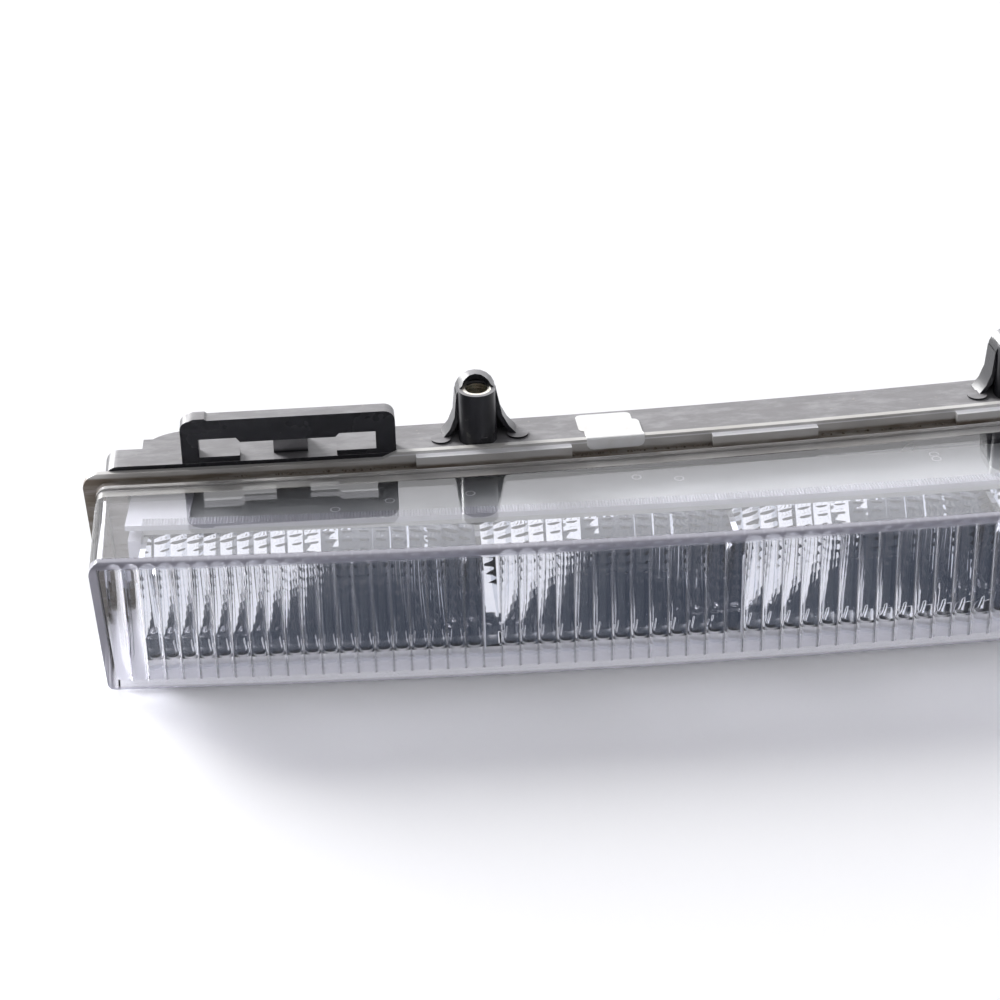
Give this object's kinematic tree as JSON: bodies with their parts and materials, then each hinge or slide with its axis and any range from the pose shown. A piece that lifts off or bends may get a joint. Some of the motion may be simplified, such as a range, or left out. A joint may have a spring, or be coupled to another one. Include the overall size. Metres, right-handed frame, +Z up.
{
  "type": "daytime running lamp",
  "caption": "Bowed clear-lensed daytime running lamp bar with a fluted lit face, faceted reflector bowls, a black housing with a hook-over loop, screw bosses and a plug socket.",
  "frame": {"origin": "centre of the left screw boss's metal insert, at its top face", "axes": "+X along the lamp towards its deep end, which is on the right when the lit face is looked at; the lit face looks along -Y; +Z up along the screw axis. The lamp rests on the flat underside of lens and housing"},
  "size_m": [0.3237, 0.0777, 0.0567],
  "materials": {
    "clear_lens": "gloss",
    "housing_plastic": "satin",
    "sealant": "matte",
    "metallised": "gloss",
    "trim": "matte",
    "black_clip": "satin",
    "board": "satin",
    "led_body": "satin",
    "led_dome": "gloss",
    "chip": "matte",
    "small_part": "satin",
    "header": "satin",
    "zinc_screw": "satin",
    "contact": "satin",
    "seal": "matte",
    "vent_plastic": "matte",
    "membrane": "matte",
    "insert": "satin",
    "sticker": "matte"
  },
  "bodies": {
    "root": {"outer_lens": "clear_lens", "housing": "housing_plastic", "lens_glue": "sealant", "reflector": "metallised", "inner_bezel": "trim", "end_clip": "black_clip", "led_board": "board", "led_1": "led_body", "led_2": "led_body", "led_3": "led_body", "led_4": "led_body", "led_domes": "led_dome", "driver_chips": "chip", "board_parts": "small_part", "board_header": "header", "board_screws": "zinc_screw", "unit_screws": "zinc_screw", "contact_pins": "contact", "connector_seal": "seal", "vent_cap": "vent_plastic", "vent_membrane": "membrane", "insert_left": "insert", "insert_right": "insert", "label_lower": "sticker", "label_upper": "sticker"}
  },
  "joints": []
}
